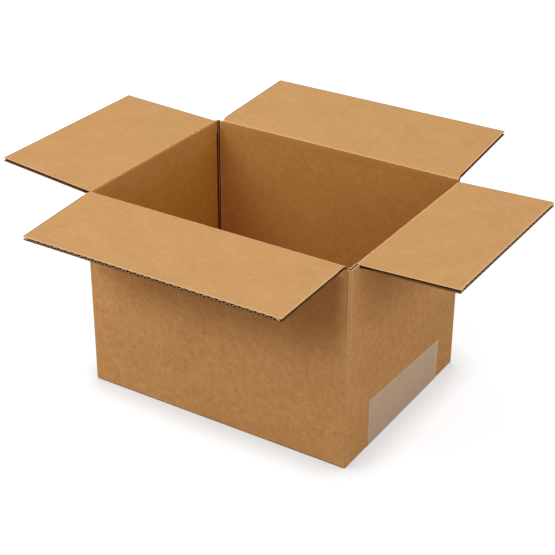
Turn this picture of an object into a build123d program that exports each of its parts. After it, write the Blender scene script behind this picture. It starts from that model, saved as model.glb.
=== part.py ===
from build123d import *
import math
import os

# A regular slotted carton of single-wall corrugated board, its top flaps spread and its bottom taped.
# +X runs along the long sides, +Y from front to back, +Z up. The origin lies on the surface that the
# carton stands on, under the middle of its walls. All lengths are millimetres.

# Carton, measured outside its walls
length = 305.0
width = 234.0
crease_height = 218.6  # floor to the pivot line of the long sides' top creases

# Corrugated board: two liners glued to the crests of a waved medium
board = 4.0
liner = 0.7
medium = 0.5
flute_pitch = 8.0
flute_base_share = 0.84  # of the pitch, the width of a hollow where it meets its liner
flute_crest_radius = 1.3
edge_flute_depth = 2.6  # how far a sawn-open flute reads as a groove in a flap's side edge

# Upright corners
corner_radius = 2.6
inner_corner_radius = 0.8
corner_groove_radius = 0.55  # fine groove along the middle of an outer corner

# Top creases: board crushed thin on both sides of a bead, so that the flap swings both ways
pivot_inset = 1.0  # pivot line inside the outer face
bead_radius = 1.4
crease_clearance = 0.25
drop_angle = 70.0  # how far below the horizontal a flap hangs at its limit
bevel_angle = 45.0  # slope of the crushed inner side, wall and flap alike
layer_gap = 0.2  # between closed end flaps and the long flaps over them

# Slots between the top flaps, unevenly cut, and the flaps' side edges
front_right_slot = 0.8  # slot floor below the long sides' pivot lines
back_left_slot = 1.8
front_left_slot = 4.5
back_right_slot = 4.5
slot_side_gap = 0.3  # between a flap's side edge and the wall beside its root
front_inset_left = 6.5  # corner to the front flap's left side edge at its root, and so on
front_inset_right = 6.5
back_inset_left = 10.7
back_inset_right = 5.2
left_inset_front = 7.0
left_inset_back = 5.9
right_inset_front = 15.8
right_inset_back = 6.4
front_slant_left = 4.1  # how far that side edge runs inwards from root to free edge, and so on
front_slant_right = 2.0
back_slant_left = 1.2
back_slant_right = 2.8
left_slant_front = 3.2
left_slant_back = 6.5
right_slant_front = -1.5
right_slant_back = 3.2

# Top flaps
seam_gap = 1.0  # between the long flaps when closed, were both cut to full depth
flute_start = 2.5  # from the end of the crushed zone to the open flutes
front_cut_short = 10.5  # how much less than full depth each flap was cut
back_cut_short = 0.0
left_cut_short = 0.0
right_cut_short = 13.5
front_angle = -2.5  # how far above the horizontal each flap rests
back_angle = 4.0
left_angle = 4.1
right_angle = 2.8

# Bottom flaps, folded in and taped
bottom_fold_radius = 1.5
bottom_seam_gap = 1.0
bottom_slot_gap = 0.6  # between a bottom flap's side edge and the wall beside it
bottom_layer_gap = 0.2

# Glued corner joint: a tab of the left panel over the outside of the back panel
tab_width = 35.0
tab_bevel = 9.0
tab_foot_gap = 9.0
tab_head_gap = 15.8  # below the long sides' pivot lines, as the back flap hangs down past the tab
joint_gap = 2.3  # between the back panel's cut edge and the left panel

# Tape over the bottom seam and up both end panels
tape_thickness = 0.3
tape_bond = 0.05
tape_width = 150.0
tape_offset = 3.0  # towards the back
tape_rise = 51.5
tape_skew = 6.5  # the cut ends run lower at the back by this much

# Sizes that follow
sheet_bottom = tape_thickness + tape_bond
end_pivot_height = crease_height - board - layer_gap
inner_length = length - 2 * board
inner_width = width - 2 * board
pivot_to_inner = board - pivot_inset
taper_angle = (90.0 - drop_angle) / 2
half_clearance = crease_clearance / 2
taper_offset = half_clearance / math.cos(math.radians(taper_angle))
taper_length = (pivot_inset + taper_offset) / math.tan(math.radians(taper_angle))
bevel_offset = half_clearance / math.cos(math.radians(bevel_angle))
score_depth = taper_length + board  # pivot line down to plain, uncrushed wall
full_reach = (width - 2 * pivot_inset - seam_gap) / 2

SIDES = ("front", "back", "left", "right")
OUTWARD = {"front": (0, -1, 0), "back": (0, 1, 0), "left": (-1, 0, 0), "right": (1, 0, 0)}
CUT_SHORT = dict(zip(SIDES, (front_cut_short, back_cut_short, left_cut_short, right_cut_short)))
ANGLE = dict(zip(SIDES, (front_angle, back_angle, left_angle, right_angle)))
SLOT_DEPTHS = {
    (1, -1): front_right_slot,
    (-1, 1): back_left_slot,
    (-1, -1): front_left_slot,
    (1, 1): back_right_slot,
}
# each flap's insets and slants, first those at the lower end of its crease's own axis
INSETS = {
    "front": (front_inset_right, front_inset_left),
    "back": (back_inset_left, back_inset_right),
    "left": (left_inset_front, left_inset_back),
    "right": (right_inset_back, right_inset_front),
}
SLANTS = {
    "front": (front_slant_right, front_slant_left),
    "back": (back_slant_left, back_slant_right),
    "left": (left_slant_front, left_slant_back),
    "right": (right_slant_back, right_slant_front),
}


def on_long_side(side):
    return side in ("front", "back")


def pivot_height(side):
    return crease_height if on_long_side(side) else end_pivot_height


def side_length(side):
    return length if on_long_side(side) else width


def flap_width(side):
    """Width of a flap at its root."""
    return side_length(side) - sum(INSETS[side])


def flap_offset(side):
    """How far a flap's middle lies along its crease from the middle of its wall."""
    low_inset, high_inset = INSETS[side]
    return (low_inset - high_inset) / 2


def crease_plane(side):
    """Plane across the middle of a flap's crease: X outward, Y up, Z along the pivot line, origin on it."""
    half_span = (width if on_long_side(side) else length) / 2 - pivot_inset
    outward = Vector(*OUTWARD[side])
    along = outward.cross(Vector(0, 0, 1))
    origin = outward * half_span + Vector(0, 0, pivot_height(side)) + along * flap_offset(side)
    return Plane(origin=origin, x_dir=outward, z_dir=along)


def outline(*points):
    return make_face(Polyline(*points, close=True))


def prism(section, span):
    """A section extruded to both sides of its plane, to span in all."""
    return extrude(section, amount=span / 2, both=True)


def wall_crease_section():
    """Top of a wall: tapered outside, bevelled inside, with a round bead on the pivot line."""
    tan_taper = math.tan(math.radians(taper_angle))
    tan_bevel = math.tan(math.radians(bevel_angle))
    # where the taper's line and the bevel's line cross, just under the pivot
    apex_y = -(taper_offset * tan_bevel + bevel_offset) / (1 - tan_taper * tan_bevel)
    apex_x = -taper_offset - apex_y * tan_taper
    stem = outline(
        (pivot_inset, -score_depth),
        (pivot_inset, -taper_length),
        (apex_x, apex_y),
        (-pivot_to_inner, -pivot_to_inner * tan_bevel - bevel_offset),
        (-pivot_to_inner, -score_depth),
    )
    return stem + Circle(bead_radius)


def flap_section(reach):
    """A flap lying level outward from its pivot, its root hollowed to turn around the bead."""
    tan_taper = math.tan(math.radians(taper_angle))
    tan_bevel = math.tan(math.radians(bevel_angle))
    apex_x = (taper_offset + bevel_offset) / (tan_bevel + tan_taper)
    apex_y = taper_offset - apex_x * tan_taper
    slab = outline(
        (apex_x, apex_y),
        (taper_length, -pivot_inset),
        (reach, -pivot_inset),
        (reach, pivot_to_inner),
        ((pivot_to_inner + bevel_offset) / tan_bevel, pivot_to_inner),
    )
    return slab - Circle(bead_radius + crease_clearance)


def flute_hollow(pitch):
    """The hollow in one trough of the medium: straight flanks down from the upper liner, a round crest."""
    base = pitch * flute_base_share / 2
    top = board / 2 - liner
    centre = medium - top + flute_crest_radius
    # each flank is the line from a corner at the liner that just touches the crest's circle
    rise = top - centre
    to_centre = math.hypot(base, rise)
    touch = math.atan2(rise, base) - math.acos(flute_crest_radius / to_centre)
    touch_x = flute_crest_radius * math.cos(touch)
    touch_y = centre + flute_crest_radius * math.sin(touch)
    return make_face([
        Line((-base, top), (base, top)),
        Line((base, top), (touch_x, touch_y)),
        ThreePointArc((touch_x, touch_y), (0, centre - flute_crest_radius), (-touch_x, touch_y)),
        Line((-touch_x, touch_y), (-base, top)),
    ])


def flutes(low, high, depth):
    """The hollows between a flap's liners from low to high across the flutes, depth along them."""
    count = round((high - low) / flute_pitch)
    pitch = (high - low) / count
    upper = flute_hollow(pitch)
    lower = mirror(upper, about=Plane.XZ)
    hollows = [Pos(low + (i + 0.5) * pitch, 0) * upper for i in range(count)]
    hollows += [Pos(low + i * pitch, 0) * lower for i in range(1, count)]
    return extrude(Sketch() + hollows, amount=depth)


def top_flap(side):
    """One flap with its fluted section, turned to the angle at which it rests."""
    reach = full_reach - CUT_SHORT[side]
    half_width = flap_width(side) / 2
    low_slant, high_slant = SLANTS[side]
    low_end, high_end = low_slant - half_width, half_width - high_slant
    behind = bead_radius + crease_clearance
    plan = outline(
        (-behind, -half_width), (0, -half_width), (reach, low_end),
        (reach, high_end), (0, half_width), (-behind, half_width),
    )
    flap = prism(flap_section(reach), side_length(side)) & prism(Plane.XZ.location * plan, 2 * board)

    # the flutes keep to the narrowest part, and both side edges show one sawn open along its length
    start = taper_length + flute_start
    middle = pivot_to_inner - board / 2
    low = max(low_end, -half_width) + edge_flute_depth
    high = min(high_end, half_width) - edge_flute_depth
    across = Plane(origin=(start, middle, 0), x_dir=(0, 0, 1), z_dir=(1, 0, 0))
    flap -= across.location * flutes(low, high, reach - start)
    groove_depth = edge_flute_depth - flute_pitch * (1 - flute_base_share) / 2
    for root, end, inward in ((-half_width, low_end, 1), (half_width, high_end, -1)):
        edge_at_start = root + (end - root) * start / reach
        groove = outline(
            (start, edge_at_start), (reach, end),
            (reach, end + inward * groove_depth), (start, edge_at_start + inward * groove_depth),
        )
        flap -= Pos(0, middle, 0) * prism(Plane.XZ.location * groove, board - 2 * liner)
    return crease_plane(side).location * Rot(0, 0, ANGLE[side]) * flap


def wall_tube():
    """The four walls up to the slot floors, with rounded feet and creased corners."""
    wall_height = crease_height - sheet_bottom
    tube = extrude(RectangleRounded(length, width, corner_radius), amount=wall_height)
    tube = fillet(tube.faces().sort_by(Axis.Z)[0].edges(), bottom_fold_radius)
    tube -= extrude(RectangleRounded(inner_length, inner_width, inner_corner_radius), amount=wall_height)
    # the groove lies on the outermost point of a corner's arc
    arc_rise = corner_radius * (1 - math.sqrt(0.5))
    for x, y in ((1, -1), (1, 1), (-1, -1)):
        groove = extrude(Circle(corner_groove_radius), amount=wall_height)
        tube -= Pos(x * (length / 2 - arc_rise), y * (width / 2 - arc_rise), 0) * groove
    for (x, y), depth in SLOT_DEPTHS.items():
        tube -= Pos(x * length / 2, y * width / 2, wall_height) * Box(length, width, 2 * depth)
    return Pos(0, 0, sheet_bottom) * tube


def slit_for_joint():
    """The narrow gap inside the glued corner, from the back panel's cut edge to the left panel."""
    centre_x = -inner_length / 2 + joint_gap / 2
    slit = Box(joint_gap, board + corner_radius, crease_height)
    return Pos(centre_x, (inner_width + board + corner_radius) / 2, crease_height / 2) * slit


def glue_tab():
    """The left panel's tab, folded round the corner onto the outside of the back panel."""
    left = -length / 2
    low = sheet_bottom + tab_foot_gap
    high = crease_height - tab_head_gap
    plate = outline(
        (left, low), (left + tab_width, low + tab_bevel), (left + tab_width, high - tab_bevel), (left, high)
    )
    # Plane.XZ faces the front, so a negative amount runs to the back
    tab = Pos(0, width / 2, 0) * extrude(Plane.XZ.location * plate, amount=-board)
    post_depth = board + corner_radius
    post = Pos(left + board / 2, width / 2 + board - post_depth / 2, (low + high) / 2)
    tab += post * Box(board, post_depth, high - low)
    fold = tab.edges().filter_by(Axis.Z).sort_by(lambda e: e.center().X - e.center().Y)[0]
    return fillet(fold, corner_radius)


def bottom_flaps():
    """Four flaps folded in: the end flaps lie on the long flaps, which meet in the middle."""
    reach = full_reach + pivot_inset - board
    end_level = sheet_bottom + board + bottom_layer_gap
    flaps = []
    for sign in (-1, 1):
        depth = inner_width / 2 - bottom_seam_gap / 2
        slab = Box(inner_length - 2 * bottom_slot_gap, depth, board)
        flaps.append(Pos(0, sign * (inner_width - depth) / 2, sheet_bottom + board / 2) * slab)
        slab = Box(reach, inner_width - 2 * bottom_slot_gap, board)
        flaps.append(Pos(sign * (inner_length - reach) / 2, 0, end_level + board / 2) * slab)
    return flaps


def carton_body():
    """Walls, glued corner and bottom flaps: one sheet, folded."""
    body = wall_tube() - slit_for_joint()
    for side in SIDES:
        plane = crease_plane(side)
        span = flap_width(side) + 2 * slot_side_gap
        clear = Pos(0, (board - score_depth) / 2, 0) * Box(3 * board, score_depth + board, span)
        body -= plane.location * clear
        body += plane.location * prism(wall_crease_section(), span)
    body += glue_tab()
    for flap in bottom_flaps():
        body += flap
    return body


def bottom_tape():
    """One wide strip of film along the bottom seam, its ends turned up on the end panels."""
    inner_half = length / 2 + tape_bond
    tall = tape_rise + tape_skew
    outer = Pos(0, tall / 2) * Rectangle(2 * (inner_half + tape_thickness), tall)
    outer = fillet(outer.vertices().sort_by(Axis.Y)[:2], bottom_fold_radius + tape_bond + tape_thickness)
    inner = Pos(0, tape_thickness + tall / 2) * Rectangle(2 * inner_half, tall)
    inner = fillet(inner.vertices().sort_by(Axis.Y)[:2], bottom_fold_radius + tape_bond)
    strip = prism(Plane.XZ.location * (outer - inner), tape_width)
    half_skew = tape_skew / 2
    kept = outline(
        (-tape_width / 2, 0),
        (tape_width / 2, 0),
        (tape_width / 2, tape_rise - half_skew),
        (-tape_width / 2, tape_rise + half_skew),
    )
    strip &= prism(Plane.YZ.location * kept, 2 * length)
    return Pos(0, tape_offset, 0) * strip


def build():
    parts = {"carton_body": carton_body(), "bottom_tape": bottom_tape()}
    for side in SIDES:
        parts[side + "_flap"] = top_flap(side)
    return parts


os.makedirs("parts", exist_ok=True)
for name, shape in build().items():
    export_step(shape, f"parts/{name}.step")
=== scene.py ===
import math
import random

import bmesh
import bpy
from mathutils import Matrix, Vector


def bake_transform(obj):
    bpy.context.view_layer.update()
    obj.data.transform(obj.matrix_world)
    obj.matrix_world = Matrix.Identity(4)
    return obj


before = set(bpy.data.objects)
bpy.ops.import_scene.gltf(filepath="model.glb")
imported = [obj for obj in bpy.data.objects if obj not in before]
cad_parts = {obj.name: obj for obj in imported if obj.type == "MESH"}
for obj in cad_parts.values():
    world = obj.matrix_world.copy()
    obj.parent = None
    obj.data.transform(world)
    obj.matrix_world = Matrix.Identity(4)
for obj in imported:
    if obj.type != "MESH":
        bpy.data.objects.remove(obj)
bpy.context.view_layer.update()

# An open corrugated carton on a pale studio floor. Metres, in the frame of the CAD model.
MM = 0.001
UP = Vector((0, 0, 1))

# The board: two kraft liners on a waved medium
BOARD = 4.0 * MM
UPPER_CUT = 0.45 * MM  # how thick the liners are drawn at a cut edge, matched to the photograph
LOWER_CUT = 1.2 * MM
FLUTE_PITCH = 8.0 * MM
UPPER_FACE = 3.0 * MM  # a flap's inner liner above its pivot line, when it lies level
LOWER_FACE = -1.0 * MM
MID_BOARD = (UPPER_FACE + LOWER_FACE) / 2
FLUTES_START = 8.9 * MM  # from the pivot line

# The carton
HALF_LENGTH = 152.5 * MM
HALF_WIDTH = 117.0 * MM
INNER_HALF_LENGTH = HALF_LENGTH - BOARD
INNER_HALF_WIDTH = HALF_WIDTH - BOARD
PIVOT_INSET = 1.0 * MM  # the pivot lines lie this far inside the outer faces
BOTTOM_TOP = 9.0 * MM  # top of the bottom flaps that are folded in
SLOTS = 213.5 * MM  # below the floors of all the slots
SLIT_FROM = -148.5 * MM  # of the glued corner, along the back panel
SLIT_TO = -146.2 * MM
TAPE_FRONT = -72.0 * MM
TAPE_BACK = 78.0 * MM
TAPE_RISE = 51.5 * MM
TAPE_SKEW = 6.5 * MM

# Each top flap: its outward direction, the height of its pivot line, where its root ends at the lower
# and the higher end of the crease's own axis, how far the side edges there slant inwards, its reach,
# and its degrees above the horizontal at rest
CREASES = {
    "front": {"outward": (0, -1, 0), "height": 218.6 * MM, "ends": (-146.0 * MM, 146.0 * MM),
              "slants": (2.0 * MM, 4.1 * MM), "reach": 105.0 * MM, "angle": -2.5},
    "back": {"outward": (0, 1, 0), "height": 218.6 * MM, "ends": (-141.8 * MM, 147.3 * MM),
             "slants": (1.2 * MM, 2.8 * MM), "reach": 115.5 * MM, "angle": 4.0},
    "left": {"outward": (-1, 0, 0), "height": 214.4 * MM, "ends": (-110.0 * MM, 111.1 * MM),
             "slants": (3.2 * MM, 6.5 * MM), "reach": 115.5 * MM, "angle": 4.1},
    "right": {"outward": (1, 0, 0), "height": 214.4 * MM, "ends": (-110.6 * MM, 101.2 * MM),
              "slants": (3.2 * MM, -1.5 * MM), "reach": 102.0 * MM, "angle": 2.8},
}


def crease_frame(side, turned):
    """Pivot point, and the axes outward, upward and along the crease. Turned: the flap's own axes."""
    outward = Vector(CREASES[side]["outward"])
    half_span = abs(outward.x) * HALF_LENGTH + abs(outward.y) * HALF_WIDTH - PIVOT_INSET
    pivot = outward * half_span + UP * CREASES[side]["height"]
    a = math.radians(CREASES[side]["angle"]) if turned else 0.0
    p_axis = outward * math.cos(a) + UP * math.sin(a)
    q_axis = UP * math.cos(a) - outward * math.sin(a)
    return pivot, p_axis, q_axis, outward.cross(UP)


# Materials

def linear(code):
    """An sRGB hex colour as linear RGBA."""
    channels = [int(code[i : i + 2], 16) / 255 for i in (1, 3, 5)]
    channels = [c / 12.92 if c <= 0.04045 else ((c + 0.055) / 1.055) ** 2.4 for c in channels]
    return (*channels, 1.0)


def add(tree, kind, inputs=(), **settings):
    """One shader node, its inputs by name or in their order: numbers, colours, sockets or nodes."""
    node = tree.nodes.new("ShaderNode" + kind)
    for name, value in settings.items():
        setattr(node, name, value)
    if not isinstance(inputs, dict):
        inputs = dict(zip([i for i, socket in enumerate(node.inputs) if socket.enabled], inputs))
    for place, value in inputs.items():
        if isinstance(value, bpy.types.Node):
            value = next(socket for socket in value.outputs if socket.enabled)
        if isinstance(value, bpy.types.NodeSocket):
            tree.links.new(value, node.inputs[place])
        else:
            node.inputs[place].default_value = value
    return node


def new_material(name):
    material = bpy.data.materials.new(name)
    material.use_nodes = True
    material.node_tree.nodes.clear()
    return material, material.node_tree


def line_mask(tree, value, centre, core, fade):
    """1 within core of the centre, 0 beyond fade."""
    off = add(tree, "Math", [value, centre], operation="SUBTRACT")
    off = add(tree, "Math", [off], operation="ABSOLUTE")
    return add(tree, "MapRange", [off, fade, core])


def painted(tree, colour, tone, *masks):
    """The colour with a tone laid over it where all the masks are 1."""
    factor = masks[0]
    for mask in masks[1:]:
        factor = add(tree, "Math", [factor, mask], operation="MULTIPLY")
    return add(tree, "Mix", [factor, colour, tone], data_type="RGBA")


def kraft_tone(tree, across, along, thick, contrast):
    """How light a point of kraft liner is, about 0.5, and its relief, about 0.5.

    Across and along are metres across and along the flutes, thick is metres through the board."""
    place = add(tree, "CombineXYZ", [across, along, thick])
    # cloudy patches 45 mm wide where the pulp lay thicker, and a mottle 7 mm wide in them
    cloud = add(tree, "TexNoise", {"Vector": place, "Scale": 1 / (45 * MM), "Detail": 2.0})
    mottle = add(tree, "TexNoise", {"Vector": place, "Scale": 1 / (7 * MM), "Detail": 3.0})
    # fibres 1.2 mm by 4 mm, drawn coarser than real ones so that they show; only the strongest do
    drawn = add(tree, "Mapping", {"Vector": place, "Scale": (1 / (1.2 * MM), 1 / (4 * MM), 1 / (4 * MM))})
    fibre = add(tree, "TexNoise", {"Vector": drawn, "Scale": 1.0, "Detail": 2.0, "Distortion": 0.6})
    pale = add(tree, "MapRange", [fibre, 0.54, 0.76])
    dark = add(tree, "MapRange", [fibre, 0.46, 0.24])
    # the washboard of the flutes, just to be felt
    turn = add(tree, "Math", [across, 2 * math.pi / FLUTE_PITCH], operation="MULTIPLY")
    wave = add(tree, "Math", [turn], operation="SINE")
    patchy = 0.5 * contrast
    flecks = 0.2 * contrast
    light = 0.5 - 0.5 * (0.45 + patchy)
    for socket, weight in ((cloud, 0.45), (mottle, patchy), (pale, flecks), (dark, -flecks), (wave, 0.012)):
        light = add(tree, "Math", [socket, weight, light], operation="MULTIPLY_ADD")
    relief = add(tree, "Math", [wave, 0.08, fibre], operation="MULTIPLY_ADD")
    return light, relief


def paper_surface(tree, colour, relief):
    """Dull paper: rough, and duller than its IOR because its surface is all fibres."""
    bump = add(tree, "Bump", {"Height": relief, "Strength": 0.35, "Distance": 0.12 * MM})
    shader = add(
        tree,
        "BsdfPrincipled",
        {"Base Color": colour, "Roughness": 0.85, "IOR": 1.45, "Specular IOR Level": 0.1, "Normal": bump},
    )
    add(tree, "OutputMaterial", {"Surface": shader})


# Kraft liner where the pulp is thin and where it is thick
INNER_TONES = linear("#C59258"), linear("#E1AE77")  # the flaps' upper faces
OUTER_TONES = linear("#C89053"), linear("#EBB174")  # the carton's outside
# painted shade: the inside walls take darker, more saturated copies of the inner liner
INSIDE_SHADED_TONES = linear("#C48D45"), linear("#E2A860")  # inside the long walls
END_INSIDE_SHADED_TONES = linear("#BE8534"), linear("#DA9E4C")  # inside the end walls
# painted shade, laid over the walls under the flaps, inside towards the right and on the left crease
WALL_SHADE = linear("#7E4A18")
# painted shade on the long walls' inside, from none at the left end to this much at the right end
RIGHT_END_SHADE = 0.22  # how much duller the long walls' inside is at the right end than at the left

# The cut places and wear: liners above and below, the medium between them, painted shade in the flutes
CUT_PAPER = linear("#E2BC92")
CUT_SHADED = linear("#96663A")
CUT_MEDIUM = linear("#E0B688")
HOLLOW_SHADE = linear("#1E0B05")
# painted highlight and painted shade along the flaps' rims
RIM_HIGHLIGHT = linear("#F2C996")
RIM_SHADE = linear("#6E4C28")
# pale wear along the folds, with a painted highlight along the creases and corners
FOLD_LIGHT = linear("#F0C48E")
# painted shade: a dark line along creases, in the corners' grooves and along the foot
FOLD_SHADE = linear("#4E2A0C")

# Kraft liner seen through clear film, and the film's whitish rim
TAPED_TONES = linear("#BE9870"), linear("#D6AF85")
TAPE_RIM = linear("#E6C8A4")

STEP = 0.1 * MM  # half the width of a soft step between two paints
NEAR_SURFACE = 0.08 * MM  # a point this near to a cut face or a liner's face starts to belong to it
ON_SURFACE = 0.04 * MM


def flap_board(side):
    """Corrugated board of one flap: dull tan kraft faces, pale cut liners, painted shade in the open flutes.
    """
    material, tree = new_material(f"corrugated_kraft_{side}_flap")
    reach = CREASES[side]["reach"]
    low_end, high_end = CREASES[side]["ends"]
    low_slope, high_slope = [slant / reach for slant in CREASES[side]["slants"]]
    pivot, p_axis, q_axis, s_axis = crease_frame(side, turned=True)
    turned = Matrix((p_axis, q_axis, s_axis)).transposed().to_euler()
    place = add(tree, "TexCoord")
    own = add(
        tree,
        "Mapping",
        {"Vector": place.outputs["Object"], "Location": pivot, "Rotation": turned},
        vector_type="TEXTURE",
    )
    p, q, s = add(tree, "SeparateXYZ", [own]).outputs
    light, relief = kraft_tone(tree, s, p, q, 1.0)
    inner = add(tree, "Mix", [light, *INNER_TONES], data_type="RGBA")
    outer = add(tree, "Mix", [light, *OUTER_TONES], data_type="RGBA")
    upper = add(tree, "MapRange", [q, MID_BOARD - STEP, MID_BOARD + STEP])
    faces = painted(tree, outer, inner, upper)

    # how far a point lies in from each cut edge
    from_low = add(tree, "Math", [p, -low_slope, s], operation="MULTIPLY_ADD")
    from_low = add(tree, "Math", [from_low, low_end], operation="SUBTRACT")
    from_high = add(tree, "Math", [p, high_slope, s], operation="MULTIPLY_ADD")
    from_high = add(tree, "Math", [high_end, from_high], operation="SUBTRACT")
    from_free = add(tree, "Math", [reach, p], operation="SUBTRACT")
    # painted highlight along the liner's rim on the edges that face front or right, painted shade along the
    # others
    for distance, way in ((from_low, -s_axis), (from_high, s_axis), (from_free, p_axis)):
        tone, strength = (RIM_HIGHLIGHT, 0.75) if way.x > way.y else (RIM_SHADE, 0.6)
        rim = add(tree, "MapRange", [distance, 1.5 * MM, 0.6 * MM, 0.0, strength])
        faces = painted(tree, faces, tone, rim)

    # the cut board: liners, and open flutes between them with painted shade in them
    aside = add(tree, "Math", [from_low, from_high], operation="MINIMUM")
    at_side = add(tree, "MapRange", [aside, NEAR_SURFACE, ON_SURFACE])
    at_free = add(tree, "MapRange", [from_free, NEAR_SURFACE, ON_SURFACE])
    at_cut = add(tree, "Math", [at_side, at_free], operation="MAXIMUM")
    core = painted(tree, HOLLOW_SHADE, CUT_MEDIUM, at_free)
    lower_end = LOWER_FACE + LOWER_CUT
    upper_end = UPPER_FACE - UPPER_CUT
    in_lower = add(tree, "MapRange", [q, lower_end + STEP, lower_end - STEP])
    in_upper = add(tree, "MapRange", [q, upper_end - STEP, upper_end + STEP])
    cut = painted(tree, core, CUT_SHADED, in_lower)  # the lower liner's cut shows darker
    cut = painted(tree, cut, CUT_PAPER, in_upper)
    from_middle = add(tree, "Math", [q, MID_BOARD], operation="SUBTRACT")
    from_middle = add(tree, "Math", [from_middle], operation="ABSOLUTE")
    on_face = add(tree, "MapRange", [from_middle, BOARD / 2 - NEAR_SURFACE, BOARD / 2 - ON_SURFACE])
    near_root = add(tree, "MapRange", [p, FLUTES_START, FLUTES_START - STEP])
    on_face = add(tree, "Math", [on_face, near_root], operation="MAXIMUM")
    not_cut = add(tree, "Math", [1.0, at_cut], operation="SUBTRACT")
    paper_surface(tree, painted(tree, cut, faces, on_face, not_cut), relief)
    return material


def body_board():
    """Corrugated board of the walls and the bottom: kraft, with painted shade under the flaps and inside,
    and wear and painted light on the folds.
    """
    material, tree = new_material("corrugated_kraft_walls")
    place = add(tree, "TexCoord")
    x, y, z = add(tree, "SeparateXYZ", [place.outputs["Object"]]).outputs
    out_x = add(tree, "Math", [x], operation="ABSOLUTE")
    out_y = add(tree, "Math", [y], operation="ABSOLUTE")
    facing = add(tree, "SeparateXYZ", [place.outputs["Normal"]])
    facing_x, facing_y, facing_z = [
        add(tree, "Math", [socket], operation="ABSOLUTE") for socket in facing.outputs
    ]
    on_end = add(tree, "MapRange", [facing_x, 0.6, 0.7])
    across = add(tree, "Mix", [on_end, x, y])
    thick = add(tree, "Mix", [on_end, y, x])
    light, relief = kraft_tone(tree, across, z, thick, 1.8)
    outer = add(tree, "Mix", [light, *OUTER_TONES], data_type="RGBA")
    # painted shade inside the box: darker, more saturated copies of the liner on the inside walls
    deep = add(tree, "Mix", [light, *INSIDE_SHADED_TONES], data_type="RGBA")
    end_wall = add(tree, "Mix", [light, *END_INSIDE_SHADED_TONES], data_type="RGBA")
    end_wall = painted(tree, end_wall, deep, add(tree, "MapRange", [z, 180 * MM, 202 * MM]))
    # painted shade inside the long walls, growing towards the right end
    shade_towards_right = add(tree, "MapRange", [x, -130 * MM, 130 * MM, 0.0, RIGHT_END_SHADE])
    deep = painted(tree, deep, WALL_SHADE, shade_towards_right)
    deep = painted(tree, deep, end_wall, on_end)

    # outside and underneath, beyond the middle of the board
    mid_x = HALF_LENGTH - BOARD / 2
    mid_y = HALF_WIDTH - BOARD / 2
    beyond_x = add(tree, "MapRange", [out_x, mid_x - 2 * STEP, mid_x + 2 * STEP])
    beyond_y = add(tree, "MapRange", [out_y, mid_y - 2 * STEP, mid_y + 2 * STEP])
    underneath = add(tree, "MapRange", [z, 2.6 * MM, 2.2 * MM])
    outside = add(tree, "Math", [beyond_x, beyond_y], operation="MAXIMUM")
    outside = add(tree, "Math", [outside, underneath], operation="MAXIMUM")
    # painted shade up under the flaps: the long walls more than the ends, and less near the corners, at the
    # back and at the left
    fall = add(tree, "MapRange", [out_x, 110 * MM, HALF_LENGTH, 0.0, 25 * MM])
    level = add(tree, "Math", [z, fall], operation="SUBTRACT")
    rising = add(tree, "MapRange", [level, 85 * MM, 165 * MM], interpolation_type="SMOOTHSTEP")
    shade_on_ends = add(tree, "MapRange", [out_y, 110 * MM, 45 * MM, 0.0, 0.38])
    shade_on_sides = add(tree, "MapRange", [out_x, HALF_LENGTH - 5 * MM, HALF_LENGTH - 16 * MM, 0.2, 0.6])
    less_back = add(tree, "MapRange", [y, -100 * MM, 100 * MM, 1.0, 0.35])
    less_left = add(tree, "MapRange", [x, 100 * MM, -100 * MM, 1.0, 0.35])
    under_flap_shade = add(tree, "Mix", [on_end, shade_on_sides, shade_on_ends])
    less = add(tree, "Mix", [on_end, less_back, less_left])
    # that painted shade is there only while a flap stands out over the wall: a closed flap leaves it plain
    shelter = add(tree, "AmbientOcclusion", {"Distance": 130 * MM}, samples=16)
    sheltered = add(tree, "MapRange", [shelter.outputs["AO"], 0.99, 0.94])
    outer = painted(tree, outer, WALL_SHADE, rising, under_flap_shade, less, sheltered)
    # painted shade: a thin dark line along the foot
    at_foot = add(tree, "MapRange", [z, 2.3 * MM, 1.5 * MM, 0.0, 0.85])
    outer = painted(tree, outer, FOLD_SHADE, at_foot)
    colour = painted(tree, deep, outer, outside)

    # folded corners: painted shade in a dark line along each groove, and at the front right corner two pale
    # lines beside it, of wear and painted highlight
    corner_x = add(tree, "Math", [HALF_LENGTH, out_x], operation="SUBTRACT")
    corner_y = add(tree, "Math", [HALF_WIDTH, out_y], operation="SUBTRACT")
    from_corner = add(tree, "Math", [corner_x, corner_y], operation="MAXIMUM")
    to_front_right = add(tree, "Math", [x, y], operation="SUBTRACT")
    front_right = add(tree, "MapRange", [to_front_right, 200 * MM, 210 * MM])
    # the corner lines of wear, painted highlight and painted shade grow stronger higher up
    wear_and_shade_upward = add(tree, "MapRange", [z, 20 * MM, 190 * MM, 0.15, 0.5])
    long_bead = line_mask(tree, corner_x, 1.5 * MM, 0.3 * MM, 0.9 * MM)
    end_bead = line_mask(tree, corner_y, 2.6 * MM, 0.5 * MM, 1.3 * MM)
    bead = add(tree, "Math", [long_bead, end_bead], operation="MAXIMUM")
    colour = painted(tree, colour, FOLD_LIGHT, bead, front_right, wear_and_shade_upward, outside)
    groove = add(tree, "MapRange", [from_corner, 1.2 * MM, 0.7 * MM])
    colour = painted(tree, colour, FOLD_SHADE, groove, wear_and_shade_upward, outside)

    # the front right slot's floor, cut through the board: pale liners with painted shade for the flutes
    # between them
    depth = add(tree, "Math", [corner_x, corner_y], operation="MINIMUM")
    in_flutes = line_mask(tree, depth, BOARD / 2, 0.7 * MM, 1.0 * MM)
    section = painted(tree, CUT_PAPER, HOLLOW_SHADE, in_flutes)
    high = add(tree, "MapRange", [z, SLOTS - STEP, SLOTS])
    upward = add(tree, "MapRange", [facing_z, 0.9, 0.95])
    by_slot_x = add(tree, "MapRange", [corner_x, 16 * MM, 15 * MM])
    by_slot_y = add(tree, "MapRange", [corner_y, 18 * MM, 17 * MM])
    colour = painted(tree, colour, section, high, upward, by_slot_x, by_slot_y, front_right)
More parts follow.
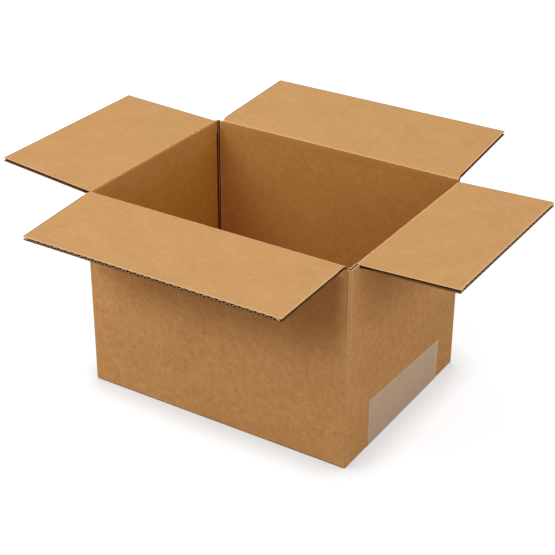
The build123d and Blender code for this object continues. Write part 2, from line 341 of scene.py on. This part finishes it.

    # painted shade inside the board: the ends of the crushed creases, and the slit of the glued corner
    inset_x = add(tree, "MapRange", [out_x, INNER_HALF_LENGTH - 2 * STEP, INNER_HALF_LENGTH - 4 * STEP])
    inset_y = add(tree, "MapRange", [out_y, INNER_HALF_WIDTH - 3 * STEP, INNER_HALF_WIDTH - 5 * STEP])
    across_long = add(tree, "Math", [facing_x, inset_x], operation="MULTIPLY")
    across_end = add(tree, "Math", [facing_y, inset_y], operation="MULTIPLY")
    inside = add(tree, "Math", [across_long, across_end], operation="MAXIMUM")
    inside = add(tree, "MapRange", [inside, 0.5, 0.6])
    not_bottom = add(tree, "MapRange", [z, BOTTOM_TOP, BOTTOM_TOP + 1.0 * MM])
    colour = painted(tree, colour, HOLLOW_SHADE, inside, not_bottom)
    slit = line_mask(tree, x, SLIT_FROM + 0.6 * MM, 0.9 * MM, 1.1 * MM)
    behind = add(tree, "MapRange", [y, INNER_HALF_WIDTH + STEP, INNER_HALF_WIDTH + 2 * STEP])
    colour = painted(tree, colour, HOLLOW_SHADE, slit, behind)
    # painted shade on the left panel's liner beside the slit; the back panel's liner is turned up pale
    beside = add(tree, "MapRange", [y, INNER_HALF_WIDTH - 3.6 * MM, INNER_HALF_WIDTH - 2.8 * MM])
    left_panel = line_mask(tree, x, SLIT_FROM, STEP, 2 * STEP)
    colour = painted(tree, colour, HOLLOW_SHADE, beside, left_panel, not_bottom)
    lip = line_mask(tree, x, SLIT_TO + 0.6 * MM, 0.6 * MM, 1.0 * MM)
    inner_face = line_mask(tree, y, INNER_HALF_WIDTH, STEP / 2, STEP)
    colour = painted(tree, colour, FOLD_LIGHT, lip, inner_face, not_bottom, 0.8)
    paper_surface(tree, colour, relief)
    return material


def clear_tape():
    """Clear packing tape on kraft: the board shows through greyed, with a soft gloss, pale at the rims."""
    material, tree = new_material("clear_packing_tape")
    place = add(tree, "TexCoord")
    x, y, z = add(tree, "SeparateXYZ", [place.outputs["Object"]]).outputs
    light, relief = kraft_tone(tree, y, z, x, 1.8)
    colour = add(tree, "Mix", [light, *TAPED_TONES], data_type="RGBA")
    top = add(
        tree, "MapRange", [y, TAPE_FRONT, TAPE_BACK, TAPE_RISE + TAPE_SKEW / 2, TAPE_RISE - TAPE_SKEW / 2]
    )
    from_top = add(tree, "Math", [top, z], operation="SUBTRACT")
    from_front = add(tree, "Math", [y, TAPE_FRONT], operation="SUBTRACT")
    from_back = add(tree, "Math", [TAPE_BACK, y], operation="SUBTRACT")
    for distance in (from_top, from_front, from_back):
        rim = add(tree, "MapRange", [distance, 1.5 * MM, 0.5 * MM, 0.0, 0.6])
        colour = painted(tree, colour, TAPE_RIM, rim)
    bump = add(tree, "Bump", {"Height": relief, "Strength": 0.3, "Distance": 0.12 * MM})
    shader = add(
        tree,
        "BsdfPrincipled",
        {"Base Color": colour, "Roughness": 0.38, "IOR": 1.5, "Normal": bump},
    )
    add(tree, "OutputMaterial", {"Surface": shader})
    return material


def folded_liner(name, wall_tones, flap_tones, turn_at, lines=(), jag=0.0, duller=0.0):
    """Kraft liner across a crease: the paper's grain follows the sheet round the bend.

    Turn_at is where along the sheet the wall's tone gives way to the flap's, jag by how much that
    place wanders, and lines are (place, half width, strength, colour) of the wear with painted highlights
    and of the painted shade along the fold.
    The last argument is how much painted shade darkens the wall at the crease's right end more than at its
    left end."""
    material, tree = new_material(name)
    sheet = add(tree, "Attribute", attribute_name="sheet_place")
    s, along, depth = add(tree, "SeparateXYZ", [sheet.outputs["Vector"]]).outputs
    light, relief = kraft_tone(tree, s, along, depth, 1.0)
    wall = add(tree, "Mix", [light, *wall_tones], data_type="RGBA")
    # painted shade on the wall, growing towards the crease's right end
    if duller:
        wall = painted(tree, wall, WALL_SHADE, add(tree, "MapRange", [s, -130 * MM, 130 * MM, 0.0, duller]))
    flap = add(tree, "Mix", [light, *flap_tones], data_type="RGBA")
    # the fold wanders in notches about 5 mm long
    notch = add(tree, "TexNoise", {"W": s, "Scale": 1 / (5 * MM), "Detail": 1.5}, noise_dimensions="1D")
    notch = add(tree, "Math", [notch, 0.5], operation="SUBTRACT")
    place = add(tree, "Math", [notch, 2 * jag, along], operation="MULTIPLY_ADD")
    beyond = add(tree, "MapRange", [place, turn_at - 0.3 * MM, turn_at + 0.3 * MM])
    colour = painted(tree, wall, flap, beyond)
    for centre, half, strength, tone in lines:
        mark = line_mask(tree, place, centre, half * 0.6, half * 1.4)
        colour = painted(tree, colour, tone, mark, strength)
    edge = add(tree, "MapRange", [depth, 0.05 * MM, 0.1 * MM])
    paper_surface(tree, painted(tree, colour, CUT_PAPER, edge), relief)
    return material


# Crease skins

BEAD_RADIUS = 1.9 * MM  # of the crushed board on the pivot line, with the skin's stand
PROUD = 0.1 * MM  # how far a skin's back stands off the board's inner face
SKIN = 0.35 * MM  # a liner's thickness
SEGMENT = 4.0 * MM  # length of a skin's facets along the crease
UNEVEN = 0.12 * MM  # how much the fold wanders up and down
LEFT_RADIUS = 3.0 * MM  # the left crease is rounder than the right one
RIGHT_RADIUS = 1.2 * MM


def turned_point(point, angle):
    """An (outward, up) point of a level flap, turned with the flap about the pivot line."""
    p, q = point
    c = math.cos(angle)
    s = math.sin(angle)
    return (p * c - q * s, p * s + q * c)


def path_length(path):
    return sum(math.dist(a, b) for a, b in zip(path, path[1:]))


def rounded_path(angle, radius):
    """Inside of the wall, over the bend and onto the flap's upper face, as (outward, up) points.

    Also the length of the path up to where the bend ends."""
    face = UPPER_FACE + PROUD
    centre_p = radius - face
    centre_q = (face - radius + centre_p * math.sin(angle)) / math.cos(angle)
    path = [(-face + 0.2 * MM, -12 * MM), (-face, -10 * MM), (-face, -6 * MM)]
    steps = 10
    for i in range(steps + 1):
        a = math.pi + (angle - math.pi / 2) * i / steps
        path.append((centre_p + radius * math.cos(a), centre_q + radius * math.sin(a)))
    ridge = path_length(path)
    for point in ((8 * MM, face), (12 * MM, face), (14 * MM, face - 0.2 * MM)):
        path.append(turned_point(point, angle))
    return path, ridge


def crushed_path(angle):
    """The same where the score crushed the board: it dips to the bead and rises to the flap's face."""
    face = UPPER_FACE + PROUD
    path = [(-face + 0.2 * MM, -12 * MM), (-face, -10 * MM), (-face, -5 * MM), (-face, -1.2 * MM)]
    path += [(-face + 0.1 * MM, -0.7 * MM), (-face + 0.5 * MM, -0.1 * MM)]
    steps = 5
    bead_from = math.radians(135)
    bead_to = math.radians(109) + angle
    for i in range(steps + 1):
        a = bead_from + (bead_to - bead_from) * i / steps
        path.append((BEAD_RADIUS * math.cos(a), BEAD_RADIUS * math.sin(a)))
    ridge = path_length(path)
    for point in ((3.2 * MM, face - 0.02 * MM), (8 * MM, face), (12 * MM, face), (14 * MM, face - 0.2 * MM)):
        path.append(turned_point(point, angle))
    return path, ridge


def outer_path(angle):
    """Outside of the wall, into the crushed score and out to the flap's lower face."""
    face = -LOWER_FACE + 0.08 * MM
    path = [(face - 0.2 * MM, -11 * MM), (face, -9 * MM), (face, -6.4 * MM)]
    steps = 8
    radius = 2.55 * MM  # of the hollow that the score leaves
    centre = 3.05 * MM
    for i in range(steps + 1):
        a = math.pi - (math.pi / 2 - angle) * i / steps
        path.append((centre + radius * math.cos(a), -centre + radius * math.sin(a)))
    for point in ((6.4 * MM, -face), (9 * MM, -face), (11 * MM, -face + 0.2 * MM)):
        path.append(turned_point(point, angle))
    return path


def skin(name, side, path, inward, material):
    """A strip of liner along one crease, thick as paper."""
    low_end, high_end = CREASES[side]["ends"]
    low_slope, high_slope = [slant / CREASES[side]["reach"] for slant in CREASES[side]["slants"]]
    pivot, p_axis, q_axis, s_axis = crease_frame(side, turned=False)
    across = []
    for i, point in enumerate(path):
        a = Vector(path[max(i - 1, 0)])
        b = Vector(path[min(i + 1, len(path) - 1)])
        normal = (b - a).orthogonal().normalized() * inward
        uneven = max(0.0, 1 - abs(i - (len(path) - 1) / 2) / 5)  # it wanders most in mid bend
        across.append((Vector(point), normal, uneven, path_length(path[: i + 1])))
    section = [(*place, 0.0) for place in across] + [(*place, SKIN) for place in reversed(across)]

    rng = random.Random(name)
    count = round((high_end - low_end) / SEGMENT)
    mesh = bpy.data.meshes.new(name)
    bm = bmesh.new()
    sheet = bm.verts.layers.float_vector.new("sheet_place")
    rings = []
    for k in range(count + 1):
        lift = 0.0 if k in (0, count) else rng.uniform(-UNEVEN, UNEVEN)
        ring = []
        for point, normal, uneven, length, depth in section:
            p, q = point + normal * (depth + lift * uneven)
            low = low_end + low_slope * max(p, 0.0)
            high = high_end - high_slope * max(p, 0.0)
            s = low + (high - low) * k / count
            vertex = bm.verts.new(pivot + p_axis * p + q_axis * q + s_axis * s)
            vertex[sheet] = (s, length, depth)
            ring.append(vertex)
        rings.append(ring)
    for a, b in zip(rings, rings[1:]):
        for i in range(len(section)):
            bm.faces.new((a[i - 1], a[i], b[i], b[i - 1]))
    for ring in (rings[0], rings[-1]):
        for i in range(len(path) - 1):
            bm.faces.new((ring[i], ring[i + 1], ring[-2 - i], ring[-1 - i]))
    bmesh.ops.recalc_face_normals(bm, faces=bm.faces)
    bm.to_mesh(mesh)
    bm.free()
    mesh.shade_smooth()
    mesh.set_sharp_from_angle(angle=math.radians(40))
    mesh.materials.append(material)
    piece = bpy.data.objects.new(name, mesh)
    bpy.context.scene.collection.objects.link(piece)
    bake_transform(piece)


# What shows along each fold, in millimetres from the end of the bend outwards: the lines of wear with
# painted highlights and of painted shade (place, half width, strength, colour), how far they wander,
# and where the wall's tone gives way to the flap's
FOLD_MARKS = {
    "front": {"lines": [(0.3, 0.9, 0.95, FOLD_LIGHT)], "jag": 0.4, "turn": -1.5},
    "back": {"lines": [(-2.2, 1.1, 0.65, FOLD_LIGHT), (-4.1, 0.4, 0.35, FOLD_SHADE)],
             "jag": 1.0, "turn": -3.7},
    "left": {"lines": [(0.6, 0.8, 0.25, FOLD_LIGHT), (-2.4, 1.7, 0.30, WALL_SHADE)],
             "jag": 2.4, "turn": -0.5},
    "right": {"lines": [(-0.4, 0.9, 0.95, FOLD_LIGHT)], "jag": 0.4, "turn": -1.5},
}

outer_liner = folded_liner("kraft_outer_liner_fold", OUTER_TONES, OUTER_TONES, 0.0)
for side, crease in CREASES.items():
    angle = math.radians(crease["angle"])
    if side in ("front", "back"):
        path, ridge = crushed_path(angle)
    else:
        path, ridge = rounded_path(angle, LEFT_RADIUS if side == "left" else RIGHT_RADIUS)
    marks = FOLD_MARKS[side]
    inner_liner = folded_liner(
        f"kraft_inner_liner_{side}_fold",
        INSIDE_SHADED_TONES,
        INNER_TONES,
        ridge + marks["turn"] * MM,
        [(ridge + place * MM, half * MM, strength, tone) for place, half, strength, tone in marks["lines"]],
        marks["jag"] * MM,
        RIGHT_END_SHADE if side == "back" else 0.0,
    )
    skin(f"{side}_inner_fold", side, path, -1, inner_liner)
    skin(f"{side}_outer_fold", side, outer_path(angle), 1, outer_liner)

for name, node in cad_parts.items():
    node.data.materials.clear()
    if name == "carton_body":
        node.data.materials.append(body_board())
    elif name == "bottom_tape":
        node.data.materials.append(clear_tape())
    else:
        node.data.materials.append(flap_board(name.removesuffix("_flap")))


# Studio

CARTON_MIDDLE = Vector((0, 0, 0.1))
CAMERA_DISTANCE = 1471.378 * MM
CAMERA_TARGET = (-0.12, 2.99, 112.68)  # millimetres
CAMERA_SHIFT = (0.231, 0.453)  # millimetres to the left and down, which centres the carton


def seen_directly(tree):
    """1 for what the camera sees, also in a reflection or through glass."""
    path = add(tree, "LightPath")
    seen = add(
        tree, "Math", [path.outputs["Is Camera Ray"], path.outputs["Is Glossy Ray"]], operation="MAXIMUM"
    )
    return add(tree, "Math", [seen, path.outputs["Is Transmission Ray"]], operation="MAXIMUM")


def make_floor():
    """A pale studio floor that keeps the carton's shadow."""
    mesh = bpy.data.meshes.new("studio_floor")
    bm = bmesh.new()
    bmesh.ops.create_grid(bm, x_segments=1, y_segments=1, size=6.0)
    bm.to_mesh(mesh)
    bm.free()
    floor = bpy.data.objects.new("studio_floor", mesh)
    floor.location = (0, 0, -0.05 * MM)
    bpy.context.scene.collection.objects.link(floor)
    material, tree = new_material("pale_floor")
    # pale grey for the light that it throws back, white to look at where no shadow falls
    plain = add(tree, "BsdfDiffuse", {"Color": (0.62, 0.62, 0.62, 1.0)})
    shaded = add(tree, "BsdfDiffuse", {"Color": (0.43, 0.45, 0.47, 1.0)})
    lift = add(tree, "Emission", {"Color": (1.0, 1.0, 1.0, 1.0), "Strength": 0.79})
    shown = add(tree, "AddShader", [shaded, lift])
    # that white is dimmed close to the carton's foot, as the light there is
    dark = add(tree, "BsdfDiffuse", {"Color": (0.0, 0.0, 0.0, 1.0)})
    near_foot = add(tree, "AmbientOcclusion", {"Distance": 40 * MM}, samples=16)
    contact = add(tree, "MapRange", [near_foot.outputs["AO"], 0.6, 1.0, 0.74, 1.0])
    shown = add(tree, "MixShader", [contact, dark, shown])
    add(tree, "OutputMaterial", {"Surface": add(tree, "MixShader", [seen_directly(tree), plain, shown])})
    mesh.materials.append(material)


def make_world():
    """Soft light from all round, white where the camera sees it."""
    world = bpy.data.worlds.new("studio")
    bpy.context.scene.world = world
    world.use_nodes = True
    tree = world.node_tree
    tree.nodes.clear()
    soft = add(tree, "Background", {"Color": (1.0, 1.0, 1.0, 1.0), "Strength": 0.52})
    white = add(tree, "Background", {"Color": (1.0, 1.0, 1.0, 1.0), "Strength": 1.0})
    add(tree, "OutputWorld", {"Surface": add(tree, "MixShader", [seen_directly(tree), soft, white])})


def softbox(name, place, size, power):
    """A square soft lamp that faces the middle of the carton; its side in metres, its power in watts."""
    light = bpy.data.lights.new(name, "AREA")
    light.shape = "SQUARE"
    light.size = size
    light.energy = power
    lamp = bpy.data.objects.new(name, light)
    lamp.location = place
    lamp.rotation_mode = "QUATERNION"
    lamp.rotation_quaternion = (CARTON_MIDDLE - Vector(place)).to_track_quat("-Z", "Y")
    bpy.context.scene.collection.objects.link(lamp)


def make_camera():
    """Over the front right corner, looking down a little."""
    azimuth = math.radians(32.049)
    elevation = math.radians(28.496)
    roll = math.radians(0.3)
    back = Vector((
        math.sin(azimuth) * math.cos(elevation),
        -math.cos(azimuth) * math.cos(elevation),
        math.sin(elevation),
    ))
    level = Vector((math.cos(azimuth), math.sin(azimuth), 0.0))
    upright = back.cross(level)
    right = level * math.cos(roll) + upright * math.sin(roll)
    up = upright * math.cos(roll) - level * math.sin(roll)
    target = (Vector(CAMERA_TARGET) - right * CAMERA_SHIFT[0] - up * CAMERA_SHIFT[1]) * MM
    data = bpy.data.cameras.new("camera")
    data.sensor_width = 36.0
    data.lens = 91.454
    data.clip_start = 0.1
    data.clip_end = 50.0
    camera = bpy.data.objects.new("camera", data)
    turn = Matrix((right, up, back)).transposed().to_4x4()
    camera.matrix_world = Matrix.Translation(target + back * CAMERA_DISTANCE) @ turn
    bpy.context.scene.collection.objects.link(camera)
    bpy.context.scene.camera = camera


make_floor()
make_world()
softbox("overhead_softbox", (-0.5, 0.0, 2.3), 1.6, 11.0)
softbox("front_left_softbox", (-1.2, -1.4, 1.9), 1.4, 17.0)
softbox("right_softbox", (2.0, -0.4, 1.2), 1.2, 4.5)
make_camera()
bpy.context.scene.view_settings.view_transform = "Standard"
